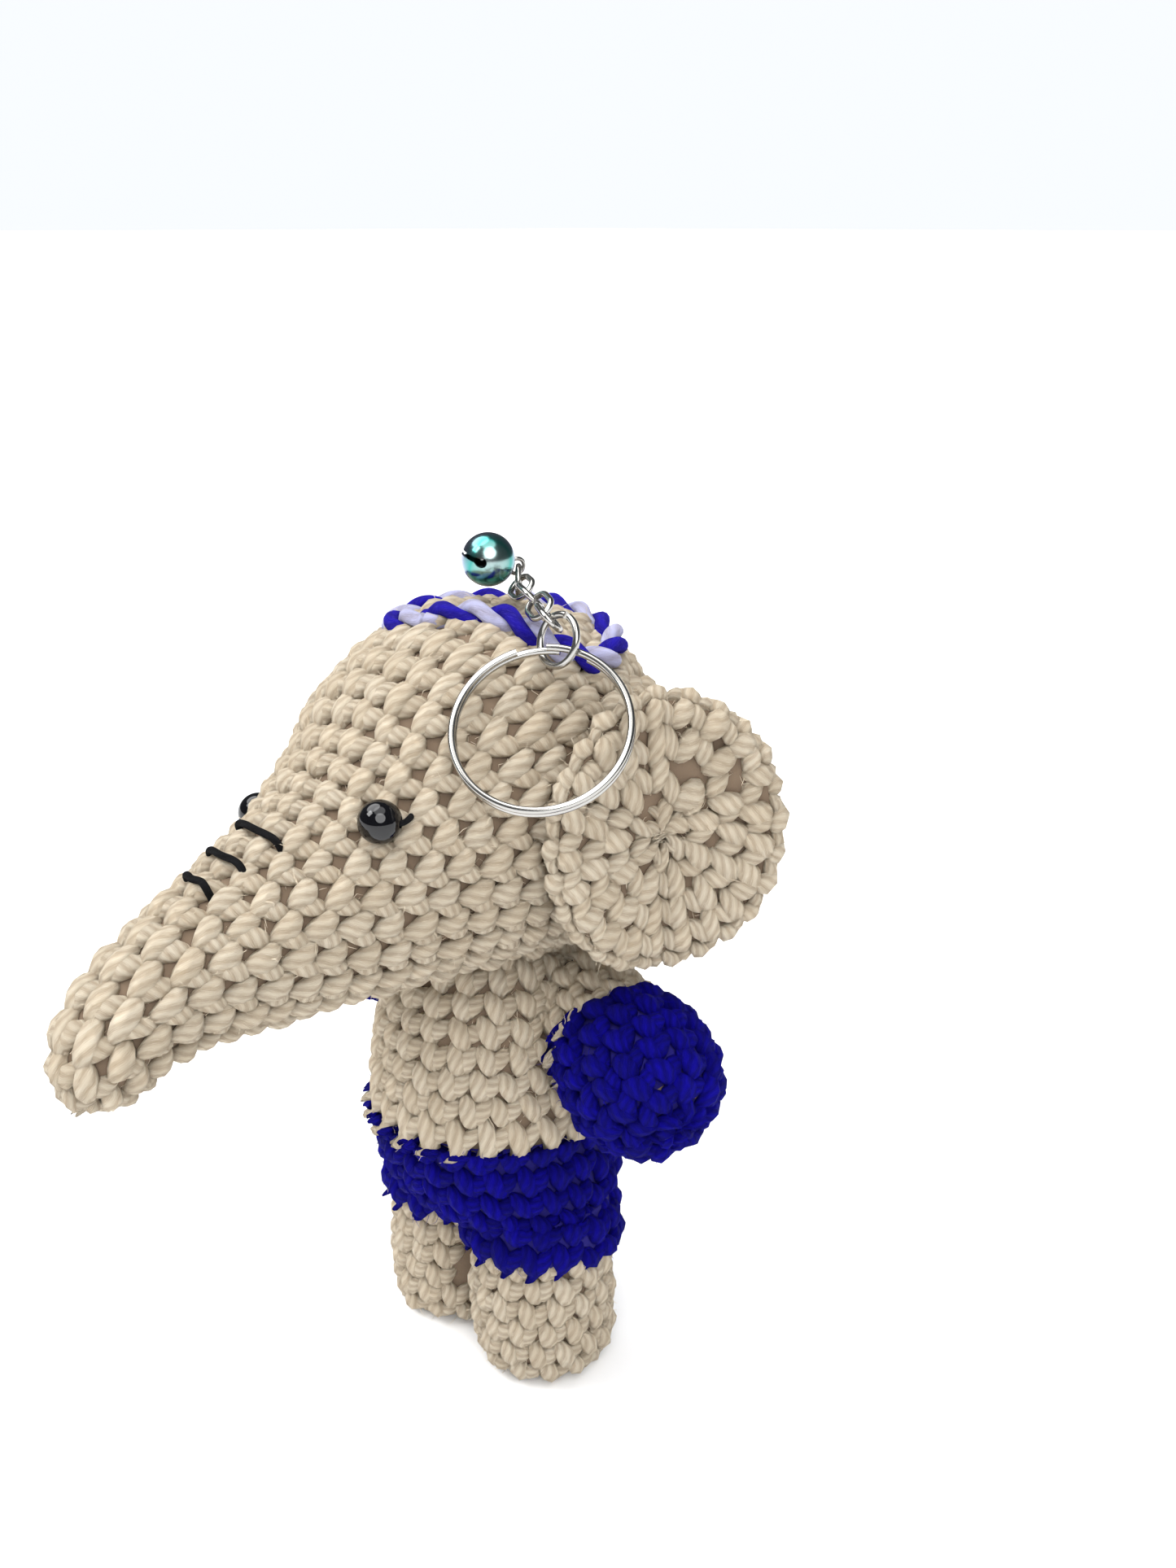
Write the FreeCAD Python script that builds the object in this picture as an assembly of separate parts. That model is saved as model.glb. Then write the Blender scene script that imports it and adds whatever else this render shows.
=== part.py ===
"""A small crocheted elephant keychain, dressed as a boxer, as separate pieces.

Millimetres, +Z up, +X towards the elephant's left side, -Y towards the tip of its trunk.
The shapes are worked out about the body's upright axis, and every piece is then moved by
OUTLINE_SHIFT, so that the origin ends up under the middle of the whole object's outline.
"""
import FreeCAD, Part
import math
import os

V = FreeCAD.Vector
os.makedirs("parts", exist_ok=True)

# ---- driving dimensions -------------------------------------------------------------------
GROUND_Z = 3.4               # height of the soles in the measure used below
OUTLINE_SHIFT = V(-0.9, 21.15, -GROUND_Z)   # from the body's axis to the middle of the outline
FABRIC = 2.6                 # thickness of the crocheted fabric
SEAM_GAP = 0.4               # room between soft pieces that can swing and the body

# head and trunk: rings along the middle line, as (y, z, radius), from the back to the trunk's tip
HEAD_RINGS = [(31.0, 101.5, 3.0), (28.6, 101.5, 10.0), (23.0, 101.5, 17.5), (13.0, 101.8, 24.6),
              (0.0, 102.0, 27.5), (-12.0, 99.2, 25.2), (-24.0, 94.6, 19.4), (-35.0, 91.7, 15.2),
              (-47.0, 89.6, 11.8), (-57.0, 87.2, 9.3), (-64.2, 83.6, 8.0), (-68.0, 78.9, 6.2),
              (-69.3, 75.8, 3.0)]

# body: outlines turned about the upright axis, as (radius, z)
TORSO_OUTLINE = [(20.3, 49.2), (19.9, 55.0), (19.0, 62.0), (16.6, 70.0), (13.2, 76.0), (12.0, 84.0)]
# shorts: ovals up the belly as (half width, half depth, z), over two short leg tubes
SHORTS_OVALS = [(16.0, 8.0, 28.0), (20.2, 13.0, 30.8), (21.6, 17.0, 35.5), (21.0, 19.6, 42.0),
                (20.3, 20.3, 49.2)]
SHORTS_LEG_RADIUS = 12.2
SHORTS_HEM_Z = 26.4
SHORTS_LEG_TOP_Z = 34.0
LEG_X = 10.5                 # from the body's axis to the middle of each leg
LEG_HALF_GAP = 0.15          # the legs press on each other and are flat where they meet
LEG_OUTLINE = [(9.4, 3.4), (11.2, 6.4), (11.7, 11.0), (11.7, 17.0), (11.5, SHORTS_HEM_Z)]

# arms: short tubes that stick out sideways, turned about their own axis, as (radius, along)
GLOVE_CENTRE = V(30.6, 0.8, 64.0)
RIGHT_GLOVE_CENTRE = V(30.3, 3.6, 64.7)   # mirrored: the right arm is sewn on a little further back
ARM_AXIS = V(0.93, -0.27, -0.25)
GLOVE_OUTLINE = [(9.5, -8.0), (11.3, -4.0), (11.8, 0.5), (11.0, 6.0), (8.1, 10.4), (3.0, 12.5)]
SLEEVE_OUTLINE = [(8.6, -21.0), (8.9, -14.0), (9.5, -8.0)]

# ears: a cupped disc, bent along an upright valley that is sewn to the side of the head
EAR_VALLEY = V(31.8, 3.0, 101.5)
EAR_THICKNESS = 4.4
EAR_HALF_WIDTH, EAR_HALF_HEIGHT = 17.6, 20.8
EAR_FRONT_ANGLE = 12.0       # how far the front lobe leans in over the head, degrees
EAR_REAR_ANGLE = 40.0        # how far the rear lobe stands away from it, degrees
EAR_BEND_RADIUS = 9.0
RIGHT_EAR_SHIFT = V(1.4, 9.5, -1.0)   # the right ear is sewn on further back than the left one
RIGHT_EAR_TURN = -13.0       # and lies closer to the head behind, degrees

# eyes: round beads, each sewn on by a thread through its hole
EYE_RADIUS = 3.0
EYE_CENTRE = V(13.4, -31.0, 107.2)
RIGHT_EYE_CENTRE = V(17.2, -30.0, 99.9)   # mirrored: the right bead is sewn on lower and deeper
EYE_HOLE_RADIUS = 0.6
EYE_THREAD_RADIUS = 0.5
EYE_THREAD_HALF_SPAN = 3.4
EYE_THREAD_DEPTH = 6.0       # how far its two legs reach back into the head
EYE_TURN_CENTRE_Y = -8.0     # the beads face straight away from this point of the head's middle line

# black stitches across the top of the trunk, as (distance in front of the axis, half angle in degrees)
WRINKLES = [(-38.5, 22.0), (-44.0, 21.0), (-48.5, 15.0)]
WRINKLE_THREAD_RADIUS = 0.6
WRINKLE_LIFT = 0.3           # from the trunk's surface to the thread's middle

# headband: a twisted cord that lies round the crown, through points of the plan, as (x, y)
HEADBAND_RADIUS = 1.95
HEADBAND_LIFT = 1.75         # from the head's surface to the cord's middle
BEND_REACH = 0.45            # share of each straight run that an arc may take up at either end
HEADBAND_ROUTE = [(-8.0, -9.5), (0.5, -6.0), (8.5, -2.8), (15.5, -1.5), (19.0, 4.5), (15.0, 12.5),
                  (6.5, 17.0), (-4.0, 16.0), (-12.5, 10.5), (-16.5, 2.0), (-15.0, -6.0)]

# metalwork: wire sizes, lengths over the wire and ways that the pieces lie
CROWN_RING_RADIUS, CROWN_RING_WIRE = 2.2, 0.9
LINK_LENGTH, LINK_WIDTH, LINK_WIRE = 6.4, 4.4, 0.9
JUMP_RING_RADIUS, JUMP_RING_WIRE, JUMP_RING_CUT = 3.5, 1.0, 0.7
JUMP_RING_CUT_ANGLE = 130.0  # where the cut stands, from the way the ring lies, degrees
KEY_RING_RADIUS, KEY_RING_WIRE = 11.9, 1.0
COIL_ARC, COIL_TURN, COIL_STEP = 340.0, 200.0, 14.0   # each coil's length, start and shift, degrees
COIL_JOIN = 0.02             # depth that the coils sink into each other, so that they are one solid
CHAIN_PLAY = 0.07            # gap between two hooked wires
# more of it where two wires meet at a slant
RING_PLAY = {"chain_link_1": 0.08, "jump_ring": 0.2, "key_ring": 0.8}
CROWN_RING_CENTRE = V(2.3, 4.5, 132.0)
CROWN_RING_PLANE = 45.0      # turn of the ring's plane about +Z, degrees
BELL_RADIUS, BELL_WALL, BELL_SLOT, BELL_END_HOLE = 3.9, 0.35, 0.7, 0.75
BELL_LOOP_RADIUS, BELL_LOOP_WIRE, BELL_LOOP_RISE = 1.15, 0.6, 0.75
BELL_DIRECTION = V(0.30, 0.91, -0.30)     # from the middle of the bell to its loop
BELL_BALL_RADIUS = 1.3
BELL_BALL_DROP = 0.9
BELL_SLOT_END = 0.62         # height of the slot's two ends below the middle, as a share of the radius
# each piece of the chain: the direction it lies in, and the way its flat side faces
CHAIN_PIECES = {"chain_link_1": (V(0.89, -0.45, -0.04), V(-0.32, -0.63, 0.71)),
                "chain_link_2": (V(0.89, -0.45, -0.08), V(0.32, 0.63, 0.71)),
                "chain_link_3": (V(0.885, -0.45, -0.12), V(-0.32, -0.63, 0.71)),
                "chain_link_4": (V(0.88, -0.45, -0.15), V(0.32, 0.63, 0.71)),
                "jump_ring": (V(0.62, -0.28, -0.73), V(-0.05, -0.94, 0.32)),
                "key_ring": (V(0.246, -0.662, -0.708), V(0.413, -0.589, 0.695))}


# ---- helpers --------------------------------------------------------------------------------
def curve_through(points):
    """A smooth edge through the points."""
    curve = Part.BSplineCurve()
    curve.interpolate(points)
    return curve.toShape()


def turned(outline, inset=0.0):
    """A closed solid: an outline of (radius, height) turned about +Z, made smaller by inset."""
    radii = [radius - inset for radius, _ in outline]
    heights = [height for _, height in outline]
    side = curve_through([V(r, 0, z) for r, z in zip(radii, heights)])
    bottom = Part.makeLine(V(0, 0, heights[0]), V(radii[0], 0, heights[0]))
    top = Part.makeLine(V(radii[-1], 0, heights[-1]), V(0, 0, heights[-1]))
    axis = Part.makeLine(V(0, 0, heights[-1]), V(0, 0, heights[0]))
    face = Part.Face(Part.Wire([bottom, side, top, axis]))
    return face.revolve(V(0, 0, 0), V(0, 0, 1), 360)


def ring_loft(rings, inset=0.0):
    """A smooth closed solid through rings that stand square to the line of their centres."""
    centres = [V(0, y, z) for y, z, _ in rings]
    wires = []
    for index, (_, _, radius) in enumerate(rings):
        before = centres[max(index - 1, 0)]
        after = centres[min(index + 1, len(rings) - 1)]
        direction = (after - before).normalize()
        wires.append(Part.Wire(Part.makeCircle(radius - inset, centres[index], direction)))
    return Part.makeLoft(wires, True, False)


def along(shape, origin, direction, twist=0.0):
    """Lay a shape made along +Z at origin, along direction, first twisted about its own axis."""
    placed = shape.copy()
    placed.rotate(V(0, 0, 0), V(0, 0, 1), twist)
    turn = FreeCAD.Rotation(V(0, 0, 1), direction)
    placed.Placement = FreeCAD.Placement(origin, turn).multiply(placed.Placement)
    return placed


def mirrored(shape):
    """The same shape on the elephant's right side."""
    return shape.mirror(V(0, 0, 0), V(1, 0, 0))


def head_top(x, y):
    """Height of the head's surface above a point of the plan, between two rings."""
    rings = sorted(HEAD_RINGS)
    for (y0, z0, r0), (y1, z1, r1) in zip(rings, rings[1:]):
        if y0 <= y <= y1:
            share = (y - y0) / (y1 - y0)
            radius = r0 + (r1 - r0) * share
            return z0 + (z1 - z0) * share + math.sqrt(max(radius ** 2 - x ** 2, 1.0))
    return 0.0


# ---- head, trunk and what is sewn on them -----------------------------------------------------
def eye_bead(centre):
    """A bead with a hole across it, level and square to the way it faces."""
    facing = V(centre.x, centre.y - EYE_TURN_CENTRE_Y, 0).normalize()
    across = V(-facing.y, facing.x, 0)
    hole = Part.makeCylinder(EYE_HOLE_RADIUS, 4 * EYE_RADIUS, centre - across * 2 * EYE_RADIUS, across)
    return Part.makeSphere(EYE_RADIUS, centre).cut(hole)


def eye_thread(centre):
    """The thread through a bead: a bar across it, with two legs that go back into the head."""
    facing = V(centre.x, centre.y - EYE_TURN_CENTRE_Y, 0).normalize()
    across = V(-facing.y, facing.x, 0)
    start = centre - across * EYE_THREAD_HALF_SPAN
    end = centre + across * EYE_THREAD_HALF_SPAN
    bar = Part.makeCylinder(EYE_THREAD_RADIUS, 2 * EYE_THREAD_HALF_SPAN, start, across)
    for foot in (start, end):
        bar = bar.fuse(Part.makeSphere(EYE_THREAD_RADIUS, foot))
        bar = bar.fuse(Part.makeCylinder(EYE_THREAD_RADIUS, EYE_THREAD_DEPTH, foot, facing * -1))
    return bar.removeSplitter()


def wrinkle_stitch(y, half_angle):
    """A thread bent over the top of the trunk, square to it."""
    rings = sorted(HEAD_RINGS)
    for (y0, z0, r0), (y1, z1, r1) in zip(rings, rings[1:]):
        if y0 <= y <= y1:
            share = (y - y0) / (y1 - y0)
            radius = r0 + (r1 - r0) * share + WRINKLE_LIFT
            centre = V(0, y, z0 + (z1 - z0) * share)
            direction = V(0, y1 - y0, z1 - z0).normalize()
    arc = Part.makeTorus(radius, WRINKLE_THREAD_RADIUS, V(0, 0, 0), V(0, 0, 1), -180, 180, 2 * half_angle)
    arc.rotate(V(0, 0, 0), V(0, 0, 1), 90 - half_angle)
    turn = FreeCAD.Rotation(V(1, 0, 0), V(0, -direction.z, direction.y), direction * -1, "XYZ")
    arc.Placement = FreeCAD.Placement(centre, turn).multiply(arc.Placement)
    return arc


def rounded_loop(points, radius):
    """A closed tube: straight runs joined by arcs that touch them, each arc as large as fits."""
    count = len(points)
    tube = None
    radii = []
    ends = []
    for index, corner in enumerate(points):
        back = points[index - 1] - corner
        ahead = points[(index + 1) % count] - corner
        reach = BEND_REACH * min(back.Length, ahead.Length)
        back.normalize()
        ahead.normalize()
        half_turn = (math.pi - back.getAngle(ahead)) / 2
        bend = reach / math.tan(half_turn)
        middle = (back + ahead).normalize()
        centre = corner + middle * (bend / math.cos(half_turn))
        start, end = corner + back * reach, corner + ahead * reach
        profile = Part.Face(Part.Wire(Part.makeCircle(radius, start, back)))
        piece = profile.revolve(centre, back.cross(ahead) * -1, math.degrees(2 * half_turn))
        tube = piece if tube is None else tube.fuse(piece)
        radii.append(round(bend, 1))
        ends.append((start, end))
    for index in range(count):
        start, end = ends[index - 1][1], ends[index][0]
        run = end - start
        tube = tube.fuse(Part.makeCylinder(radius, run.Length, start, run))
    print("headband: bend radii", radii)
    return tube


def ear():
    """The left ear: a bent strip of even thickness, cut to a round outline."""
    half = EAR_THICKNESS / 2
    reach = 1.2 * EAR_HALF_HEIGHT           # a strip a little longer than the outline that cuts it
    front = V(math.sin(math.radians(-EAR_FRONT_ANGLE)), -math.cos(math.radians(EAR_FRONT_ANGLE)), 0)
    rear = V(math.sin(math.radians(EAR_REAR_ANGLE)), math.cos(math.radians(EAR_REAR_ANGLE)), 0)
    half_turn = (math.pi - front.getAngle(rear)) / 2
    inward = (front + rear).normalize()
    length = EAR_BEND_RADIUS * math.tan(half_turn)
    centre = inward * (EAR_BEND_RADIUS / math.cos(half_turn))
    front_normal = V(-front.y, front.x, 0)
    rear_normal = V(rear.y, -rear.x, 0)

    def side(offset):
        bend = EAR_BEND_RADIUS - offset
        return (front * reach + front_normal * offset, front * length + front_normal * offset,
                centre - inward * bend, rear * length + rear_normal * offset,
                rear * reach + rear_normal * offset)

    outer, inner = side(half), side(-half)
    edges = [Part.makeLine(outer[0], outer[1]),
             Part.Arc(outer[1], outer[2], outer[3]).toShape(),
             Part.makeLine(outer[3], outer[4]), Part.makeLine(outer[4], inner[4]),
             Part.makeLine(inner[4], inner[3]),
             Part.Arc(inner[3], inner[2], inner[1]).toShape(),
             Part.makeLine(inner[1], inner[0]), Part.makeLine(inner[0], outer[0])]
    strip = Part.Face(Part.Wire(edges)).extrude(V(0, 0, 4 * reach))
    strip.translate(V(0, 0, -2 * reach))
    outward = (front_normal + rear_normal).normalize()
    oval = Part.Ellipse(V(0, 0, 0), EAR_HALF_HEIGHT, EAR_HALF_WIDTH)
    disc = Part.Face(Part.Wire(oval.toShape())).extrude(V(0, 0, 4 * reach))
    disc.translate(V(0, 0, -2 * reach))
    sideways = V(-outward.y, outward.x, 0)
    disc.Placement = FreeCAD.Placement(V(0, 0, 0), FreeCAD.Rotation(V(0, 0, 1), sideways, outward, "ZXY"))
    lobe = strip.common(disc)
    lobe.translate(EAR_VALLEY + inward * (EAR_BEND_RADIUS / math.cos(half_turn) - EAR_BEND_RADIUS) * -1)
    return lobe


# ---- body and arms ----------------------------------------------------------------------------
def leg_outer(side, inset=0.0):
    """One leg from its sole to the hem of the shorts, with its stuffing's sole lifted by inset."""
    outline = [(radius, z + inset * (z < SHORTS_HEM_Z)) for radius, z in LEG_OUTLINE]
    leg = turned(outline, inset)
    leg.translate(V(side * LEG_X, 0, 0))
    flat = LEG_HALF_GAP + inset
    size = 4 * SHORTS_HEM_Z
    half = Part.makeBox(size, size, size, V(flat if side > 0 else -size - flat, -size / 2, 0))
    return leg.common(half)


def shorts_outer(inset=0.0):
    """The shorts: a belly that runs down into two short leg tubes."""
    ovals = []
    for half_width, half_depth, z in SHORTS_OVALS:
        if half_width > half_depth:
            oval = Part.Ellipse(V(0, 0, z), half_width - inset, half_depth - inset).toShape()
        else:
            oval = Part.makeCircle(half_width - inset, V(0, 0, z))
        ovals.append(Part.Wire(oval))
    shape = Part.makeLoft(ovals, True, False)
    height = SHORTS_LEG_TOP_Z - SHORTS_HEM_Z
    for side in (-1, 1):
        foot = V(side * LEG_X, 0, SHORTS_HEM_Z)
        shape = shape.fuse(Part.makeCylinder(SHORTS_LEG_RADIUS - inset, height, foot))
    return shape.removeSplitter()


def arm(glove_centre, torso_room):
    """The left arm: sleeve and glove over one stuffing, cut off where the torso is."""
    def piece(outline, inset=0.0):
        return along(turned(outline, inset), glove_centre, ARM_AXIS)

    stuffing = piece(GLOVE_OUTLINE[:-1], FABRIC).fuse(piece(SLEEVE_OUTLINE, FABRIC)).cut(torso_room)
    return {"sleeve": piece(SLEEVE_OUTLINE).cut(torso_room).cut(stuffing),
            "glove": piece(GLOVE_OUTLINE).cut(stuffing),
            "arm_stuffing": stuffing}


# ---- metalwork --------------------------------------------------------------------------------
def lying(shape, centre, direction, facing):
    """Lay a flat ring made in the XY plane along direction, its flat side turned to facing."""
    across = V(facing).cross(direction).normalize()
    turn = FreeCAD.Rotation(direction, across, direction.cross(across), "XYZ")
    placed = shape.copy()
    placed.Placement = FreeCAD.Placement(centre, turn)
    return placed, across


def oval_link():
    """A chain link lying along X: two straight sides joined by half rings."""
    wire = LINK_WIRE / 2
    bow = (LINK_WIDTH - LINK_WIRE) / 2
    half = (LINK_LENGTH - LINK_WIDTH) / 2
    link = None
    for side in (-1, 1):
        arc = Part.makeTorus(bow, wire, V(side * half, 0, 0), V(0, 0, 1), -180, 180, 180)
        arc.rotate(V(side * half, 0, 0), V(0, 0, 1), -90 * side)
        bar = Part.makeCylinder(wire, 2 * half, V(-half, side * bow, 0), V(1, 0, 0))
        link = arc.fuse(bar) if link is None else link.fuse(arc).fuse(bar)
    return link.removeSplitter()


def open_ring():
    """A jump ring with the cut where its two ends meet."""
    ring = Part.makeTorus(JUMP_RING_RADIUS, JUMP_RING_WIRE / 2)
    cut = Part.makeBox(2 * JUMP_RING_WIRE, JUMP_RING_CUT, 2 * JUMP_RING_WIRE,
                       V(JUMP_RING_RADIUS - JUMP_RING_WIRE, -JUMP_RING_CUT / 2, -JUMP_RING_WIRE))
    cut.rotate(V(0, 0, 0), V(0, 0, 1), JUMP_RING_CUT_ANGLE)
    return ring.cut(cut)


def split_ring():
    """A split key ring: two coils of wire side by side, joined where one steps over to the other."""
    wire = KEY_RING_WIRE / 2
    ring = None
    for side in (-1, 1):
        coil = Part.makeTorus(KEY_RING_RADIUS, wire, V(0, 0, side * (wire - COIL_JOIN)), V(0, 0, 1),
                              -180, 180, COIL_ARC)
        coil.rotate(V(0, 0, 0), V(0, 0, 1), COIL_TURN + COIL_STEP * side)
        ring = coil if ring is None else ring.fuse(coil)
    return ring


def bell_pieces():
    """A jingle bell: hollow ball with a slot that ends in two round holes, its loop and its ball."""
    ball = Part.makeSphere(BELL_RADIUS).cut(Part.makeSphere(BELL_RADIUS - BELL_WALL))
    hole_z = -BELL_SLOT_END * BELL_RADIUS
    slot = Part.makeBox(4 * BELL_RADIUS, BELL_SLOT, 2 * BELL_RADIUS,
                        V(-2 * BELL_RADIUS, -BELL_SLOT / 2, hole_z - 2 * BELL_RADIUS))
    shell = ball.cut(slot)
    for side in (-1, 1):
        hole = Part.makeCylinder(BELL_END_HOLE, BELL_RADIUS, V(0, 0, hole_z), V(side, 0, 0))
        shell = shell.cut(hole)
    loop_centre = V(0, 0, BELL_RADIUS + BELL_LOOP_RISE)
    loop = Part.makeTorus(BELL_LOOP_RADIUS, BELL_LOOP_WIRE / 2, loop_centre, V(1, 0, 0))
    loop = loop.cut(Part.makeSphere(BELL_RADIUS))
    rattle = Part.makeSphere(BELL_BALL_RADIUS, V(0, 0, -BELL_BALL_DROP))
    direction = V(BELL_DIRECTION).normalize()
    across = direction.cross(crown_forward.cross(direction)).normalize()
    reach = (BELL_RADIUS + BELL_LOOP_RISE + BELL_LOOP_RADIUS
             - (BELL_LOOP_WIRE + CROWN_RING_WIRE) / 2 - CHAIN_PLAY)
    top = CROWN_RING_CENTRE + V(0, 0, CROWN_RING_RADIUS)
    centre = top - direction * reach
    print(f"bell centre {centre} hook {top} loop direction {direction} across {across}")
    turn = FreeCAD.Rotation(across, direction.cross(across), direction, "ZXY")
    place = FreeCAD.Placement(centre, turn)
    for piece in (shell, loop, rattle):
        piece.Placement = place.multiply(piece.Placement)
    return shell, loop, rattle


nodes = {}

# head
head_whole = ring_loft(HEAD_RINGS)
head_inside = ring_loft(HEAD_RINGS[1:-1], FABRIC)
head, head_stuffing = head_whole, head_inside
eyes = {"left": eye_bead(EYE_CENTRE), "right": mirrored(eye_bead(RIGHT_EYE_CENTRE))}
eye_threads = [eye_thread(EYE_CENTRE), mirrored(eye_thread(RIGHT_EYE_CENTRE))]
wrinkles = [wrinkle_stitch(y, half_angle) for y, half_angle in WRINKLES]
headband_route = [V(x, y, head_top(x, y) + HEADBAND_LIFT) for x, y in HEADBAND_ROUTE]
headband = rounded_loop(headband_route, HEADBAND_RADIUS)

# crown ring, bell and chain
plane = math.radians(CROWN_RING_PLANE)
crown_forward = V(math.sin(plane), -math.cos(plane), 0)
crown_ring = along(Part.makeTorus(CROWN_RING_RADIUS, CROWN_RING_WIRE / 2), CROWN_RING_CENTRE,
                   V(crown_forward.y, -crown_forward.x, 0))

chain = {}
hook = CROWN_RING_CENTRE + crown_forward * CROWN_RING_RADIUS
wire_before = CROWN_RING_WIRE
shapes = {"jump_ring": (open_ring(), JUMP_RING_RADIUS, JUMP_RING_WIRE),
          "key_ring": (split_ring(), KEY_RING_RADIUS, KEY_RING_WIRE)}
for name, (direction, facing) in CHAIN_PIECES.items():
    shape, half, wire = shapes.get(name, (oval_link(), (LINK_LENGTH - LINK_WIRE) / 2, LINK_WIRE))
    direction = V(direction).normalize()
    gap = (wire_before + wire) / 2 + CHAIN_PLAY + RING_PLAY.get(name, 0.0)
    centre = hook + direction * (half - gap)
    chain[name], across = lying(shape, centre, direction, facing)
    print(f"{name} hook {hook} centre {centre} direction {direction} across {across}")
    hook = centre + direction * half
    wire_before = wire

bell_shell, bell_loop, bell_ball = bell_pieces()

# the soft pieces give way to what is sewn on them or pressed into them
for piece in [headband, crown_ring] + wrinkles + list(eyes.values()) + eye_threads:
    head = head.cut(piece)
    head_stuffing = head_stuffing.cut(piece)
nodes["head_and_trunk"] = head.cut(head_inside)
nodes["head_stuffing"] = head_stuffing
nodes["left_eye_bead"], nodes["right_eye_bead"] = eyes["left"], eyes["right"]
nodes["eye_threads"] = Part.makeCompound(eye_threads)
nodes["trunk_wrinkle_stitches"] = Part.makeCompound(wrinkles)
nodes["headband_cord"] = headband
nodes["left_ear"] = ear()
right_ear = mirrored(nodes["left_ear"])
right_ear.rotate(V(-EAR_VALLEY.x, EAR_VALLEY.y, 0), V(0, 0, 1), RIGHT_EAR_TURN)
right_ear.translate(RIGHT_EAR_SHIFT)
nodes["right_ear"] = right_ear

# body
body_stuffing = turned(TORSO_OUTLINE, FABRIC).fuse(shorts_outer(FABRIC))
for side in (-1, 1):
    body_stuffing = body_stuffing.fuse(leg_outer(side, FABRIC))
body_stuffing = body_stuffing.cut(head_whole)
torso = turned(TORSO_OUTLINE).cut(head_whole)
nodes["torso"] = torso.cut(body_stuffing)
nodes["shorts"] = shorts_outer().cut(body_stuffing)
nodes["left_leg"] = leg_outer(1).cut(body_stuffing)
nodes["right_leg"] = leg_outer(-1).cut(body_stuffing)
nodes["body_stuffing"] = body_stuffing

# arms
torso_room = turned([(radius + SEAM_GAP, z) for radius, z in TORSO_OUTLINE])
left_arm, right_arm = arm(GLOVE_CENTRE, torso_room), arm(RIGHT_GLOVE_CENTRE, torso_room)
for name in left_arm:
    nodes["left_" + name] = left_arm[name]
    nodes["right_" + name] = mirrored(right_arm[name])

# metalwork
nodes["crown_ring"] = crown_ring
nodes.update(chain)
nodes["bell_shell"], nodes["bell_loop"], nodes["bell_ball"] = bell_shell, bell_loop, bell_ball

# ---- place and write ----------------------------------------------------------------------------
whole = FreeCAD.BoundBox()
for name, shape in nodes.items():
    shape.translate(OUTLINE_SHIFT)
    whole.add(shape.BoundBox)
    print(f"{name:24s} solids {len(shape.Solids)} volume {shape.Volume:10.2f} valid {shape.isValid()}")
    shape.exportStep(f"parts/{name}.step")
print("outline x", round(whole.XMin, 2), round(whole.XMax, 2), "y", round(whole.YMin, 2),
      round(whole.YMax, 2), "z", round(whole.ZMin, 2), round(whole.ZMax, 2))
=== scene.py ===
# %% [markdown]
# # A crocheted elephant keychain, dressed as a boxer
#
# The real toy is worked in the round with one cream and one blue yarn, stuffed, and sewn
# together. A chain with a key ring and a small bell hangs from a ring on top of its head.
# Every soft part here is built up in the same way: a stuffed form, and over it one V of yarn
# for every crochet stitch, laid round after round.
#
# Sizes are in millimetres, measured from the middle line of the body, and `in_frame` turns
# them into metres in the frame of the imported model.

# %% Frame and units
import math
import bmesh
import bpy
import numpy as np
from mathutils import Matrix, Vector


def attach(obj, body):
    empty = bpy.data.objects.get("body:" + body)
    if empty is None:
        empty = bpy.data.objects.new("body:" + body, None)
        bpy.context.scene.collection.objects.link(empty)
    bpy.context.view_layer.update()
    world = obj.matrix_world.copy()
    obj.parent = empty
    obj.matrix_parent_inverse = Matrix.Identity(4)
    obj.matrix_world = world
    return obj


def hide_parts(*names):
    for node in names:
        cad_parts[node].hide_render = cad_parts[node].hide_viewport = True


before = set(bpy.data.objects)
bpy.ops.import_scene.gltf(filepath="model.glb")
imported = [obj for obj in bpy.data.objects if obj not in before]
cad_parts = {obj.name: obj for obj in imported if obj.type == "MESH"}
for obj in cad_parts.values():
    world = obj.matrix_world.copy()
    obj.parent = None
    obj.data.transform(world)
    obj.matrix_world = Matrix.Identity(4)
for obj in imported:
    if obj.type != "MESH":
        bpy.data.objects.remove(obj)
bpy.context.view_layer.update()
SHIFT = np.array((-0.9, 21.15, -3.4))  # from the body's middle line to the model's frame
TABLE_Z = 3.3                          # the yarn under the soles is pressed flat on the table
FULL_TURN = 2 * math.pi
random = np.random.default_rng(7)


def in_frame(points):
    """Points in millimetres from the body's middle line, as metres in the model's frame."""
    return (np.asarray(points, float) + SHIFT) * 0.001


def unit(rows):
    """The same directions, one long."""
    rows = np.asarray(rows, float)
    return rows / np.linalg.norm(rows, axis=-1, keepdims=True)


# %% [markdown]
# ## Surfaces that yarn can be laid on
#
# A maker crochets a tube and widens or narrows it as it grows. A `Tube` is the same idea: a
# row of ovals with a smooth skin through them. `at(s, a)` is the point that lies s mm along
# the skin and at angle a around it. Everything soft is laid on a tube, and even an ear is one,
# pressed flat.

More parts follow.
